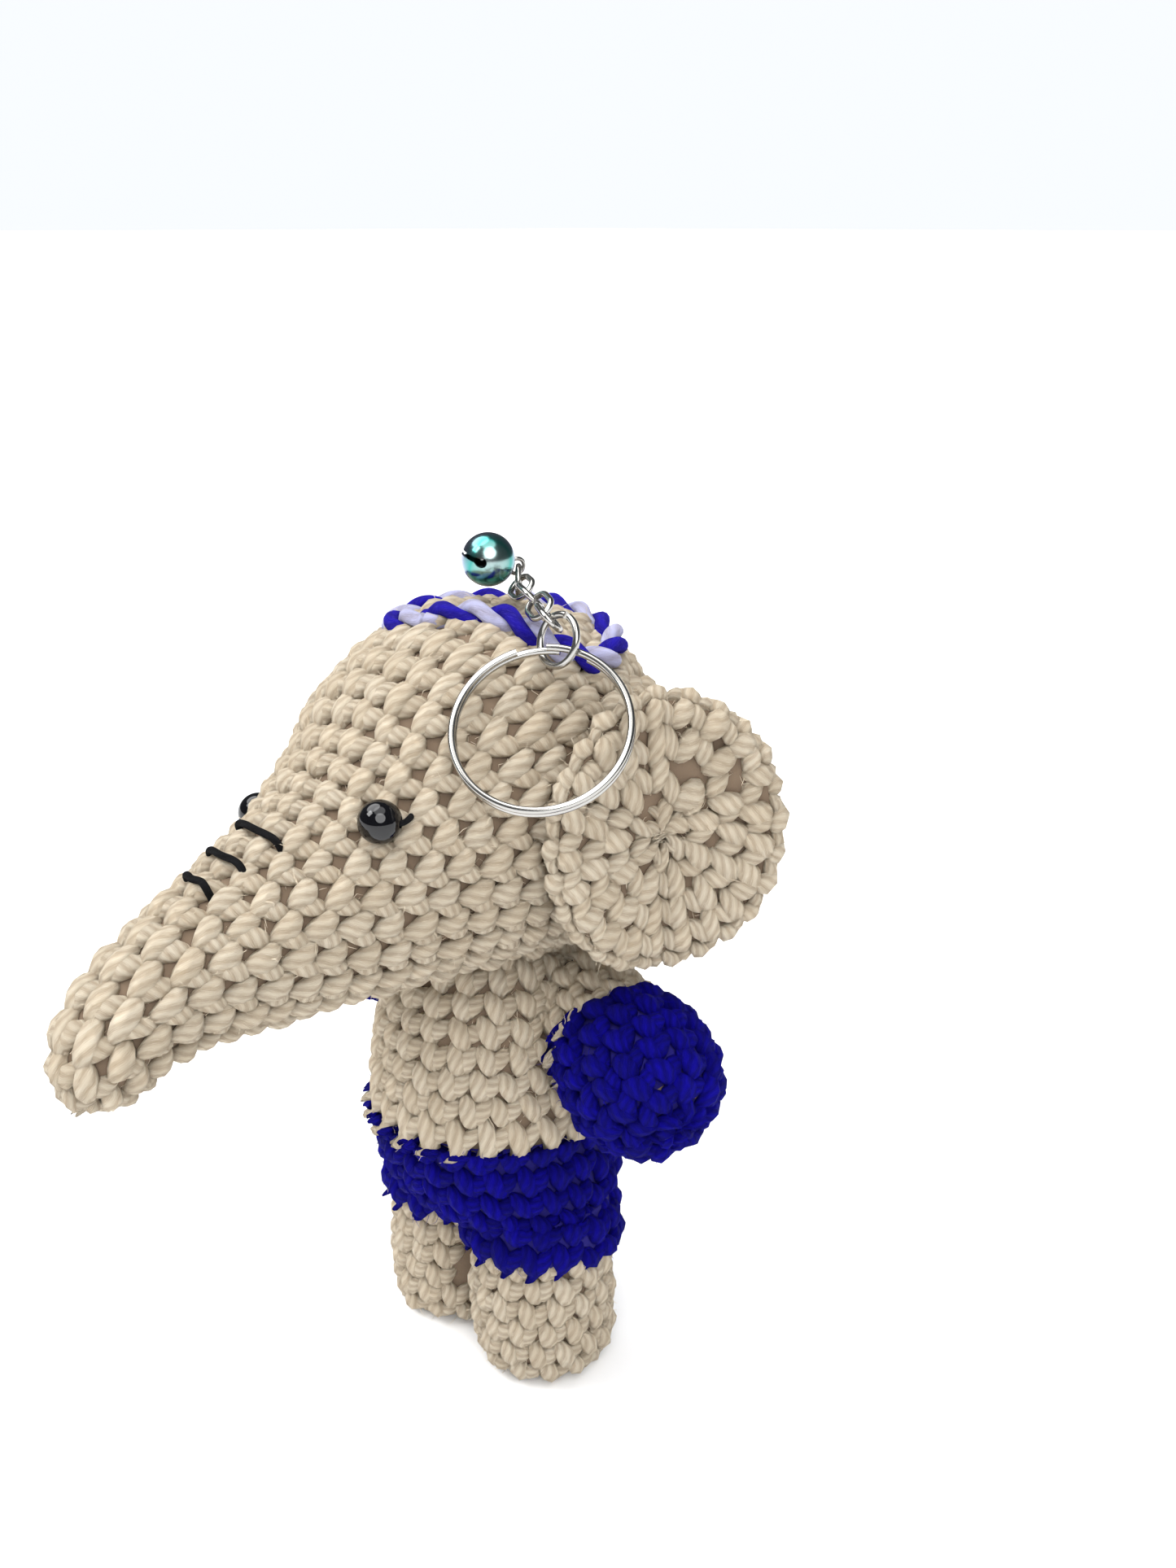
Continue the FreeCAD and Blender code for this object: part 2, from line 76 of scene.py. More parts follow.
# %% The tube
class Tube:
    """A smooth skin through ovals, each given as its centre and its two half axes."""

    GIRTH_CORNERS = 12    # the length of a round is measured over this many corners
    NUDGE = 0.15          # the step that finds which way the skin faces
    NARROWEST = 3.0       # the girth that the step around is never measured below

    def __init__(self, stations, samples=300):
        rows = np.asarray(stations, float).reshape(len(stations), 9)
        ends = np.vstack([2 * rows[:1] - rows[1:2], rows, 2 * rows[-1:] - rows[-2:-1]])
        place = np.linspace(0, len(rows) - 1, samples)
        first = np.minimum(place.astype(int), len(rows) - 2)
        t = (place - first)[:, None]
        p0, p1, p2, p3 = (ends[first + step] for step in range(4))
        self.rows = 0.5 * (2 * p1 + (p2 - p0) * t + (2 * p0 - 5 * p1 + 4 * p2 - p3) * t ** 2
                           + (3 * p1 - p0 - 3 * p2 + p3) * t ** 3)
        around = np.linspace(0, FULL_TURN, self.GIRTH_CORNERS + 1)[:-1]
        skin = np.stack([self.oval(self.rows, np.full(samples, angle)) for angle in around])
        steps = np.linalg.norm(np.diff(skin, axis=1), axis=2).mean(axis=0)
        self.along = np.concatenate([[0], np.cumsum(steps)])
        self.length = self.along[-1]
        closed = np.concatenate([skin, skin[:1]])
        self.girths = np.linalg.norm(np.diff(closed, axis=0), axis=2).sum(axis=0)

    @staticmethod
    def oval(rows, angle):
        """The point at an angle on each row's oval."""
        cosine, sine = np.cos(angle)[:, None], np.sin(angle)[:, None]
        return rows[:, :3] + rows[:, 3:6] * cosine + rows[:, 6:9] * sine

    def girth(self, s):
        """The length of the round that lies s mm along."""
        return np.interp(s, self.along, self.girths)

    def at(self, s, angle):
        """The point s mm along the skin and at the angle around it."""
        s = np.clip(s, 0, self.length)
        rows = np.stack([np.interp(s, self.along, column) for column in self.rows.T], axis=1)
        return self.oval(rows, angle)

    def lifted(self, s, angle, height):
        """The point that lies height mm above the skin."""
        turn = self.NUDGE / np.maximum(self.girth(s), self.NARROWEST) * FULL_TURN
        around = self.at(s, angle + turn) - self.at(s, angle - turn)
        low = np.clip(s - self.NUDGE, 0, self.length)
        high = np.clip(s + self.NUDGE, 0, self.length)
        onward = self.at(high, angle) - self.at(low, angle)
        normal = unit(np.cross(around, onward) + 1e-9)
        return self.at(s, angle) + normal * np.asarray(height)[:, None]


# %% Upright and leaning tubes
def lathe(outline, x=0.0):
    """A tube about an upright axis, from (half width, half depth, height) rows."""
    return Tube([((x, 0, z), (wide, 0, 0), (0, deep, 0)) for wide, deep, z in outline])


def leaning(outline, centre, axis, mirror):
    """A tube about a leaning axis, from (radius, distance along the axis) rows."""
    centre, axis = np.array(centre, float), unit(axis)
    if mirror:
        centre, axis = centre * (-1, 1, 1), axis * (-1, 1, 1)
    level = unit(np.cross(axis, (0, 0, 1)))
    up = np.cross(level, axis)
    return Tube([(centre + axis * away, level * radius, up * radius)
                 for radius, away in outline])


print("tubes ready, each measured over", Tube.GIRTH_CORNERS, "corners")

# %% [markdown]
# ## The stuffed form
#
# Under its stitches a stuffed piece is a plain plump shape. A flat grid is a quick start: its
# points are wrapped round the tube a little below the outside, the two edges that meet are
# merged, and the holes at both ends are filled. A leg's form is also cut off where the other
# leg begins.

# %% Form
FORM_DEPTH = 1.7       # the form lies this far below the outside of the yarn
FORM_SIDES = 56
FORM_STEP = 1.6        # its faces are this long along the tube
MERGE = 1e-6           # points closer than this, in metres, are one


def linked(name, mesh, material):
    """Put a mesh in the scene as a smooth object in its material."""
    mesh.shade_smooth()
    mesh.materials.append(material)
    piece = bpy.data.objects.new(name, mesh)
    bpy.context.scene.collection.objects.link(piece)
    return piece


def closed_piece(name, shape, material):
    """Turn a closed bmesh's faces outwards, make it an object and free it."""
    bmesh.ops.recalc_face_normals(shape, faces=shape.faces)
    mesh = bpy.data.meshes.new(name)
    shape.to_mesh(mesh)
    shape.free()
    return linked(name, mesh, material)


def grid_on(shape, tube, around, onward):
    """Add a grid to the bmesh; return each point's place along and around the tube."""
    bmesh.ops.create_grid(shape, x_segments=around, y_segments=onward, size=0.5)
    share = np.array([vertex.co[:2] for vertex in shape.verts]) + 0.5
    return share[:, 1] * tube.length, share[:, 0] * FULL_TURN


def wrap(shape, points, merge):
    """Move the grid's points to their places, and close the seam and both ends."""
    for vertex, point in zip(shape.verts, in_frame(points)):
        vertex.co = point
    bmesh.ops.remove_doubles(shape, verts=shape.verts, dist=merge)
    bmesh.ops.holes_fill(shape, edges=shape.edges, sides=0)


def form(name, tube, material, depth=FORM_DEPTH, cut=None):
    """The stuffed form under the stitches: a closed skin, depth mm below the outside."""
    shape = bmesh.new()
    s, angle = grid_on(shape, tube, FORM_SIDES, max(12, int(tube.length / FORM_STEP)))
    wrap(shape, tube.lifted(s, angle, np.full(len(s), -depth)), MERGE)
    if cut:
        point, normal = cut
        bmesh.ops.bisect_plane(shape, geom=shape.verts[:] + shape.edges[:] + shape.faces[:],
                               plane_co=in_frame(point), plane_no=normal, clear_outer=True)
        bmesh.ops.holes_fill(shape, edges=shape.edges, sides=0)
    return closed_piece(name, shape, material)


print("forms lie", FORM_DEPTH, "mm below the yarn")

# %% [markdown]
# ## One leg of a V
#
# A single crochet stitch shows as a V, and each leg of the V is a small plump leaf of yarn. A
# sphere stretched along its own length is enough, because thousands are laid: seven sides and
# seven rings. Its pattern coordinates run once around and once along, so that the plies can
# wind round it later.

# %% Leaf
LEAF_SIDES = 7
LEAF_LONG, LEAF_BROAD, LEAF_THICK = 6.0, 3.5, 2.9
LEAF_BOW, LEAF_DIP = 0.35, 3.4    # its middle bows aside, and both its ends dip under


def leaf():
    """One plump strand of yarn, one long, lying along +Y: its points, faces and pattern."""
    shape = bmesh.new()
    uv = shape.loops.layers.uv.new("UVMap")
    bmesh.ops.create_uvsphere(shape, u_segments=LEAF_SIDES, v_segments=LEAF_SIDES, radius=0.5)
    bmesh.ops.rotate(shape, verts=shape.verts, matrix=Matrix.Rotation(math.pi / 2, 3, "X"))
    for face in shape.faces:
        middle = face.calc_center_median()
        base = math.atan2(middle.z, middle.x)
        for loop in face.loops:
            point = loop.vert.co
            at_tip = math.hypot(point.x, point.z) <= 1e-4
            turn = base if at_tip else math.atan2(point.z, point.x)
            turn += FULL_TURN * round((base - turn) / FULL_TURN)
            loop[uv].uv = (turn / FULL_TURN, point.y + 0.5)
    points = np.array([vertex.co[:] for vertex in shape.verts])
    faces = [[vertex.index for vertex in face.verts] for face in shape.faces]
    uvs = np.array([loop[uv].uv[:] for face in shape.faces for loop in face.loops])
    shape.free()
    return points, faces, uvs


LEAF_POINTS, LEAF_FACES, LEAF_UVS = leaf()


def leaves_on(tube, s, angle, lean, long, wide, thick, lift):
    """Lay one leaf per row of the arrays on the tube, and return its points."""
    x, y, z = (LEAF_POINTS[None, :, axis] for axis in range(3))
    along_leaf = y * long[:, None]
    across = x * wide[:, None] + LEAF_BOW * (1 - 4 * y ** 2) * np.sign(lean)[:, None]
    height = z * thick[:, None] - LEAF_DIP * y ** 2 + lift[:, None]
    cosine, sine = np.cos(lean)[:, None], np.sin(lean)[:, None]
    sideways = across * cosine - along_leaf * sine
    onward = across * sine + along_leaf * cosine
    turn = sideways / tube.girth(s)[:, None] * FULL_TURN
    return tube.lifted((s[:, None] + onward).ravel(), (angle[:, None] + turn).ravel(),
                       height.ravel())


print("one leg of a V has", len(LEAF_FACES), "faces")

# %% [markdown]
# ## Loose fibres
#
# Yarn is never quite smooth: short fibres stand out of it and soften its outline. Each is a
# thin three-sided rod with one bend. Real hair would be lighter to compute, but these are
# meshes, so they stay with the piece wherever it is taken.

# %% Fibres
FIBRES_PER_LEAF = 5
FIBRE_LONG, FIBRE_THICK = 1.5, 0.04
FIBRE_SIDES = 3
FIBRE_TAPER = np.array((1.0, 0.8, 0.3))
FIBRE_UV = 0.3         # fibres all take one shade from the pattern


def loose_fibres(points, count):
    """Fibres standing out of the leaves' points, as points, faces and shades."""
    chosen = random.integers(0, len(points), count)
    middles = points.reshape(-1, len(LEAF_POINTS), 3).mean(axis=1)
    leaf_middle = middles[chosen // len(LEAF_POINTS)]
    root = points[chosen] * 0.9 + leaf_middle * 0.1
    outward = unit(points[chosen] - leaf_middle + random.normal(0, 0.02, (count, 3)))
    length = random.gamma(3.0, FIBRE_LONG / 3.0, count)[:, None]
    first = unit(outward + random.normal(0, 0.55, (count, 3)))
    second = unit(first + random.normal(0, 0.8, (count, 3)))
    spine = np.stack([root, root + first * length * 0.4,
                      root + (first + second) * length * 0.4], axis=1)
    side = unit(np.cross(first, random.normal(0, 1, (count, 3))))
    other = np.cross(first, side)
    turns = [corner * FULL_TURN / FIBRE_SIDES for corner in range(FIBRE_SIDES)]
    ring = np.stack([side * math.cos(turn) + other * math.sin(turn) for turn in turns], axis=1)
    radii = FIBRE_TAPER * FIBRE_THICK
    body = spine[:, :, None, :] + ring[:, None, :, :] * radii[None, :, None, None]
    faces = []
    for start in range(0, count * 9, 9):
        for layer in (0, 3):
            for corner in range(FIBRE_SIDES):
                onward = (corner + 1) % FIBRE_SIDES
                faces.append([start + layer + corner, start + layer + onward,
                              start + layer + 3 + onward, start + layer + 3 + corner])
        faces.append([start + 2, start + 1, start])
        faces.append([start + 6, start + 7, start + 8])
    return body.reshape(-1, 3), faces, np.repeat(random.uniform(0.6, 1.4, count), 9)


print(FIBRES_PER_LEAF, "fibres stand out of each leg")

# %% [markdown]
# ## Rounds of stitches
#
# `yarn` covers a tube with V shapes, round after round. The right leg of a V is thinner and
# lies more across than the left one, because the last loop of a single crochet stitch always
# pulls it over. Every leaf gets its own small slip, size and shade, as hand work has.

# %% Stitches
STITCH_WIDE, STITCH_HIGH = 4.95, 4.2
FEWEST_STITCHES = 6            # a round is started and closed with six
ROUND_OFFSET = 0.37            # each round starts this part of a stitch further on
SLIP_AROUND, SLIP_ALONG, SLIP_LEAN = 0.06, 0.16, 0.10
UNEVEN = (0.92, 1.08)
YARN_LIFT = -0.95              # the middle of the yarn against the outside of the tube
ROOM_FILLED = 0.72             # the part of its stitch's width that a leaf may take up
# side, fullness, lean, part of a stitch from its middle, and height, for each leg of the V
V_LEGS = ((-1, 1.0, 0.34, 0.215, 0.12), (1, 0.86, 0.70, 0.265, -0.10))


def stitches(tube, start, wide, flip_after, zigzag):
    """One row for each stitch: place along, angle, room, which way it opens, extra length."""
    rounds = max(1, round((tube.length - start) / STITCH_HIGH))
    step = (tube.length - start) / rounds
    found = []
    for index in range(rounds):
        middle = start + (index + 0.5) * step
        girth = float(tube.girth(middle))
        count = max(FEWEST_STITCHES, round(girth / wide))
        order = np.arange(count)
        slip = random.uniform(-SLIP_AROUND, SLIP_AROUND, count)
        angle = (order + ROUND_OFFSET * index + slip) / count * FULL_TURN
        spiral = step * (order / count - 0.5) * 0.5
        s = middle + spiral + random.normal(0, SLIP_ALONG, count)
        opens = -1.0 if flip_after is not None and middle > flip_after else 1.0
        longer = zigzag if index == 0 else 0.0
        found.append(np.stack([s, angle, np.full(count, girth / count), np.full(count, opens),
                               np.full(count, longer)], axis=1))
    return np.concatenate(found), rounds


def object_from(name, points, faces, uvs, shade, material):
    """One mesh object from its points, faces, pattern coordinates and shade per point."""
    mesh = bpy.data.meshes.new(name)
    points[:, 2] = np.maximum(points[:, 2], TABLE_Z)
    mesh.from_pydata(in_frame(points), [], faces)
    mesh.uv_layers.new(name="UVMap").data.foreach_set("uv", np.asarray(uvs, "f").ravel())
    shades = mesh.attributes.new("shade", "FLOAT", "POINT")
    shades.data.foreach_set("value", np.asarray(shade, "f"))
    return linked(name, mesh, material)


def yarn(name, tube, material, start=0.0, flip_after=None, keep=None, hairs=1.0,
         lift=YARN_LIFT, wide=STITCH_WIDE, zigzag=0.0):
    """Cover the tube with rounds of V stitches from start on, and return the object."""
    rows, rounds = stitches(tube, start, wide, flip_after, zigzag)
    s, angle, room, opens, longer = rows.T
    if keep is not None:
        kept = keep(tube.at(s, angle))
        s, angle, room, opens, longer = (row[kept] for row in rows.T)
    sets, shades, count = [], [], len(s)
    for side, plump, slant, apart, proud in V_LEGS:
        tilt = slant * side * opens + random.normal(0, SLIP_LEAN, count)
        aside = side * apart * room
        long = (LEAF_LONG * plump + longer) * random.uniform(*UNEVEN, count)
        broad = (np.minimum(ROOM_FILLED * room, LEAF_BROAD) * plump
                 * random.uniform(*UNEVEN, count))
        thick = LEAF_THICK * plump * random.uniform(*UNEVEN, count)
        raised = lift + random.normal(0, SLIP_ALONG, count) + proud
        where = angle + aside / tube.girth(s) * FULL_TURN
        sets.append(leaves_on(tube, s - 0.3 * longer * opens, where, -tilt, long, broad,
                              thick, raised))
        shades.append(random.uniform(0, 1, count))
    points, shade = np.concatenate(sets), np.concatenate(shades)
    faces = [[corner + leaf_index * len(LEAF_POINTS) for corner in face]
             for leaf_index in range(len(shade)) for face in LEAF_FACES]
    uvs = np.tile(LEAF_UVS, (len(shade), 1))
    uvs[:, 0] += np.repeat(shade * 7.0, len(LEAF_UVS))    # no two leaves wind alike
    fibres, fibre_faces, fibre_shade = loose_fibres(
        points, int(hairs * len(shade) * FIBRES_PER_LEAF))
    faces += [[corner + len(points) for corner in face] for face in fibre_faces]
    fibre_uvs = np.full((sum(len(face) for face in fibre_faces), 2), FIBRE_UV)
    print(f"{name}: {count} stitches in {rounds} rounds")
    return object_from(name, np.concatenate([points, fibres]), faces,
                       np.concatenate([uvs, fibre_uvs]),
                       np.concatenate([np.repeat(shade, len(LEAF_POINTS)), fibre_shade]),
                       material)


# %% [markdown]
# ## Materials
#
# Yarn is five plies twisted together, so thin lines of painted shade wind round every leaf,
# with finer fibres between them. The pattern follows each leaf's own coordinates. The blue
# acrylic drinks the light, and shows few pale painted highlights where fibres catch it.

# %% Node helpers
def new_material(name):
    """An empty material, with its nodes, its links and its surface."""
    material = bpy.data.materials.new(name)
    material.use_nodes = True
    nodes, links = material.node_tree.nodes, material.node_tree.links
    return material, nodes, links, nodes["Principled BSDF"]


def set_inputs(node, values):
    """Set a node's inputs by their names."""
    for name, value in values.items():
        node.inputs[name].default_value = value


def math_node(nodes, links, kind, *inputs):
    """A sum on numbers or on other nodes' results."""
    node = nodes.new("ShaderNodeMath")
    node.operation = kind
    for socket, value in zip(node.inputs, inputs):
        if isinstance(value, (int, float)):
            socket.default_value = value
        else:
            links.new(value, socket)
    return node.outputs[0]


def mix_colour(nodes, links, share, first, second):
    """Two colours mixed, each given as a tuple or as another node's result."""
    node = nodes.new("ShaderNodeMix")
    node.data_type = "RGBA"
    links.new(share, node.inputs[0])
    for socket, value in ((node.inputs[6], first), (node.inputs[7], second)):
        if isinstance(value, tuple):
            socket.default_value = (*value, 1)
        else:
            links.new(value, socket)
    return node.outputs[2]


def add_relief(nodes, links, surface, height, strength, distance):
    """Let a height stand out of the surface."""
    bump = nodes.new("ShaderNodeBump")
    set_inputs(bump, {"Strength": strength, "Distance": distance})
    links.new(height, bump.inputs["Height"])
    links.new(bump.outputs[0], surface.inputs["Normal"])


# %% Yarn
PAINTED_PLY_SHADE = (0.66, 0.58, 0.50)                 # painted shade between plies and fibres: how much of each colour is left there
FIBRES_ROUND, FIBRES_ALONG = 9.0, 2.2       # fibres are long and thin
HIGHLIGHT_FROM, HIGHLIGHT_TO = 0.52, 0.72           # painted highlights: only the brightest fibres get one


def yarn_material(name, light, dark, highlight, sheen, painted_highlight_share=0.25, plies=5, twist=3.0):
    """Twisted yarn: a shade for every leaf, painted shade between plies and fibres, and fine
    fibres.
    """
    material, nodes, links, surface = new_material(name)
    coordinates = nodes.new("ShaderNodeUVMap")
    coordinates.uv_map = "UVMap"
    split = nodes.new("ShaderNodeSeparateXYZ")
    links.new(coordinates.outputs[0], split.inputs[0])
    round_it, along = split.outputs[0], split.outputs[1]
    around = math_node(nodes, links, "MULTIPLY", round_it, float(plies))
    phase = math_node(nodes, links, "MULTIPLY_ADD", along, twist, around)
    turned = math_node(nodes, links, "MULTIPLY", phase, FULL_TURN)
    wave = math_node(nodes, links, "SINE", turned)
    ply = math_node(nodes, links, "MULTIPLY_ADD", wave, 0.5, 0.5)

    stretch = nodes.new("ShaderNodeCombineXYZ")
    links.new(math_node(nodes, links, "MULTIPLY", phase, FIBRES_ROUND), stretch.inputs[0])
    links.new(math_node(nodes, links, "MULTIPLY", along, FIBRES_ALONG), stretch.inputs[1])
    fibre = nodes.new("ShaderNodeTexNoise")
    set_inputs(fibre, {"Scale": 2.0, "Detail": 6.0, "Roughness": 0.7})
    links.new(stretch.outputs[0], fibre.inputs["Vector"])
    fibres = fibre.outputs["Fac"]

    own = nodes.new("ShaderNodeAttribute")
    own.attribute_name = "shade"
    base = mix_colour(nodes, links, own.outputs["Fac"], dark, light)
    raised = math_node(nodes, links, "MULTIPLY_ADD", fibres, 2.0, -0.65)
    raised = math_node(nodes, links, "MULTIPLY_ADD", ply, 0.65, raised)
    clamped = nodes.new("ShaderNodeClamp")
    links.new(raised, clamped.inputs[0])
    # painted shade: the leaf's colour darkened between plies and fibres
    deep = tuple(channel * share for channel, share in zip(dark, PAINTED_PLY_SHADE))
    threads = mix_colour(nodes, links, clamped.outputs[0], deep, base)
    # painted highlights: the brightest fibres take the pale highlight colour
    painted_highlights = nodes.new("ShaderNodeMapRange")
    set_inputs(painted_highlights, {"From Min": HIGHLIGHT_FROM, "From Max": HIGHLIGHT_TO, "To Max": painted_highlight_share})
    links.new(fibres, painted_highlights.inputs["Value"])
    colour = mix_colour(nodes, links, painted_highlights.outputs[0], threads, highlight)
    links.new(colour, surface.inputs["Base Color"])

    height = math_node(nodes, links, "MULTIPLY_ADD", fibres, 2.2, ply)
    add_relief(nodes, links, surface, height, strength=0.9, distance=0.0005)
    set_inputs(surface, {"Roughness": 0.85, "Specular IOR Level": 0.08, "Sheen Weight": sheen,
                         "Sheen Roughness": 0.45, "Sheen Tint": (*highlight, 1)})
    return material


CREAM = yarn_material("cream_yarn", light=(0.88, 0.77, 0.60), dark=(0.79, 0.67, 0.50),
                      highlight=(1.0, 0.94, 0.82), sheen=0.12, painted_highlight_share=0.55)
BLUE = yarn_material("royal_blue_yarn", light=(0.004, 0.001, 0.36), dark=(0.002, 0.0005, 0.22),
                     highlight=(0.05, 0.04, 0.62), sheen=0.0, painted_highlight_share=0.16)
LILAC = yarn_material("lilac_strand", light=(0.66, 0.66, 0.95), dark=(0.56, 0.56, 0.90),
                      highlight=(0.90, 0.90, 1.0), sheen=0.4, plies=3, twist=1.0)
STRAND_BLUE = yarn_material("blue_strand", light=(0.014, 0.005, 0.45),
                            dark=(0.010, 0.003, 0.38), highlight=(0.18, 0.15, 0.8), sheen=0.2,
                            plies=3, twist=1.0)
BLACK = yarn_material("black_thread", light=(0.012, 0.012, 0.014), dark=(0.006, 0.006, 0.007),
                      highlight=(0.10, 0.10, 0.11), sheen=0.1, plies=3, twist=1.0)

# %% Forms' fabric in painted shade, bead and metal
GRAIN = 900.0    # the fine grain of the forms' fabric


def plain_material(name, colour, roughness, metal=0.0, bumpy=0.0):
    """One colour all over, with a fine grain if it is bumpy."""
    material, nodes, links, surface = new_material(name)
    set_inputs(surface, {"Base Color": (*colour, 1), "Roughness": roughness,
                         "Metallic": metal})
    if bumpy:
        place = nodes.new("ShaderNodeTexCoord")
        noise = nodes.new("ShaderNodeTexNoise")
        set_inputs(noise, {"Scale": GRAIN})
        links.new(place.outputs["Object"], noise.inputs["Vector"])
        add_relief(nodes, links, surface, noise.outputs["Fac"], bumpy, distance=0.0002)
    return material


# the forms and the stuffing show only in the gaps between stitches, so their dark colour is
# painted shade
CREAM_PAINTED_SHADE = plain_material("cream_fabric_painted_shade", (0.17, 0.12, 0.08), 0.95, bumpy=0.6)
BLUE_PAINTED_SHADE = plain_material("blue_fabric_painted_shade", (0.004, 0.001, 0.13), 0.95, bumpy=0.6)
BEAD = plain_material("black_bead", (0.002, 0.002, 0.003), 0.06)
NICKEL = plain_material("nickel_plate", (0.42, 0.41, 0.39), 0.2, metal=1.0)
print("materials:", len(bpy.data.materials))

# %% [markdown]
# ## Head and trunk
#
# One long piece that starts as six stitches at the tip of the trunk, widens over the face and
# closes again at the back of the head. Its rounds stand square to the trunk, so they lean as
# the trunk bends down.

# %% Head and trunk
# how far back, how high and how wide each round's oval is, from the tip to the back
HEAD_LINE = [(-69.4, 75.0, 0.5), (-69.3, 75.8, 3.6), (-68.0, 78.9, 6.4), (-64.2, 83.6, 8.0),
             (-57.0, 87.2, 9.3), (-47.0, 89.6, 11.8), (-35.0, 91.7, 15.2), (-24.0, 94.6, 19.4),
             (-12.0, 99.2, 25.2), (0.0, 102.0, 27.5), (13.0, 101.8, 24.6), (23.0, 101.5, 17.5),
             (28.6, 101.5, 10.0), (31.0, 101.5, 3.0), (31.1, 101.5, 0.5)]


def head_tube():
    """The head, with each round standing square to the line of the rounds' centres."""
    centres = np.array([(0, y, z) for y, z, _ in HEAD_LINE])
    across = np.array((1.0, 0, 0))
    stations = []
    for index, (_, _, radius) in enumerate(HEAD_LINE):
        before, after = centres[max(index - 1, 0)], centres[min(index + 1, len(centres) - 1)]
        if index in (0, 1):
            before, after = centres[1], centres[2]
        if index >= len(centres) - 2:
            before, after = centres[-3], centres[-2]
        onward = unit(after - before)
        stations.append((centres[index], across * radius, np.cross(onward, across) * radius))
    return Tube(stations)


def soft_piece(node, body, tube, thread, deep, slot, cut=None, **stitching):
    """A stuffed piece: its form in painted shade and its stitches, riding on their body in
    place of the node.
    """
    base = form(node + "_form", tube, deep, cut=cut)
    cover = yarn(node + "_yarn", tube, thread, **stitching)
    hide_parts(node)
    for piece in (base, cover):
        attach(piece, body)


HEAD = head_tube()
soft_piece("head_and_trunk", "elephant", HEAD, CREAM, CREAM_PAINTED_SHADE, "cream_yarn")

# %% [markdown]
# ## Body, shorts and legs
#
# The body is worked downwards in one with the shorts: the yarn changes from cream to blue at
# the waist, so the last cream stitches reach down over the first blue ones like teeth. Each leg
# is a short tube with a flat sole, and comes out of a leg of the shorts. The hem round each leg
# is laid only where the belly of the shorts doesn't already cover it.

# %% Body and shorts
TORSO_ROWS = [(20.3, 20.3, 48.2), (19.9, 19.9, 55), (19.0, 19.0, 62), (16.6, 16.6, 70),
              (13.2, 13.2, 76), (11.8, 11.8, 80)]
SHORTS_ROWS = [(15.0, 7.0, 27.0), (20.2, 13.0, 30.8), (21.6, 17.0, 35.5), (21.0, 19.6, 42.0),
               (20.3, 20.3, 48.6)]
BLUE_HAIRS = 1.3     # the blue yarn is a little fluffier
soft_piece("torso", "elephant", lathe(TORSO_ROWS), CREAM, CREAM_PAINTED_SHADE, "cream_yarn", zigzag=2.2)
soft_piece("shorts", "elephant", lathe(SHORTS_ROWS), BLUE, BLUE_PAINTED_SHADE, "royal_blue_yarn",
           start=3.0, hairs=BLUE_HAIRS)

# %% Hems
LEG_MIDDLE = 10.5
HEM_ROWS = [(12.0, 12.0, 25.6), (12.3, 12.3, 28.0), (12.2, 12.2, 31.0), (11.5, 11.5, 34.5)]
BELLY_BOTTOM, BELLY_TALL = 27.0, 14.0
SIDES = ((-1, "right"), (1, "left"))


def outside_belly(points):
    """True where the shorts' belly doesn't already cover the point."""
    share = np.clip((points[:, 2] - BELLY_BOTTOM) / BELLY_TALL, 0, 1)
    wide, deep = 15 + 6 * share, 7 + 12 * share
    return (points[:, 0] / wide) ** 2 + (points[:, 1] / deep) ** 2 > 0.8


for side, name in SIDES:
    tube = lathe(HEM_ROWS, x=side * LEG_MIDDLE)
    hem = yarn("shorts_hem_" + name, tube, BLUE, keep=outside_belly, hairs=BLUE_HAIRS,
               lift=-0.35, zigzag=1.0)
    # the hem's inner form is coloured dark blue as painted shade
    inner = form("shorts_hem_form_" + name, tube, BLUE_PAINTED_SHADE, depth=0.9)
    for piece in (hem, inner):
        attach(piece, "elephant")
    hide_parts("shorts")

# %% Legs
LEG_ROWS = [(0.5, 3.45), (5.0, 3.4), (9.0, 3.55), (11.3, 6.4), (11.7, 11.0), (11.7, 17.0),
            (11.5, 22.0), (11.3, 27.5)]
STITCH_GAP, FORM_GAP = 1.2, 0.3    # how far each leg keeps from the line between them


def own_side(side):
    """True where a point lies on its own side of the line between the legs."""
    return lambda points: points[:, 0] * side > STITCH_GAP


for side, name in SIDES:
    tube = lathe([(radius, radius, z) for radius, z in LEG_ROWS], x=side * LEG_MIDDLE)
    soft_piece(name + "_leg", "elephant", tube, CREAM, CREAM_PAINTED_SHADE, "cream_yarn",
               cut=((side * FORM_GAP, 0, 0), (-side, 0, 0)), keep=own_side(side))

# %% [markdown]
# ## Arms and gloves
#
# An arm is a short cream sleeve that ends in a round blue glove. The glove is closed at its end
# with six stitches drawn together, which leave a small whirl.

# %% Arms
ARM_AXIS = (0.93, -0.27, -0.25)
GLOVE_ROWS = [(0.5, 12.7), (3.4, 12.4), (8.1, 10.4), (11.0, 6.0), (11.8, 0.5), (11.3, -4.0),
              (9.6, -8.6)]
SLEEVE_ROWS = [(10.0, -7.2), (9.5, -9.0), (9.0, -13.0), (8.6, -19.0)]
GLOVE_CENTRES = {"left": (30.6, 0.8, 64.0), "right": (30.3, 3.6, 64.7)}
for name, centre in GLOVE_CENTRES.items():
    glove = leaning(GLOVE_ROWS, centre, ARM_AXIS, mirror=name == "right")
    sleeve = leaning(SLEEVE_ROWS, centre, ARM_AXIS, mirror=name == "right")
    soft_piece(name + "_glove", name + "_arm", glove, BLUE, BLUE_PAINTED_SHADE, "royal_blue_yarn",
               hairs=BLUE_HAIRS)
    soft_piece(name + "_sleeve", name + "_arm", sleeve, CREAM, CREAM_PAINTED_SHADE, "cream_yarn",
               zigzag=1.8)

# %% [markdown]
# ## Ears
#
# An ear is a flat disc worked from its middle outwards, on both faces. It is folded along an
# upright valley where it is sewn to the head, so its front lobe leans over the cheek and its
# rear lobe stands out.

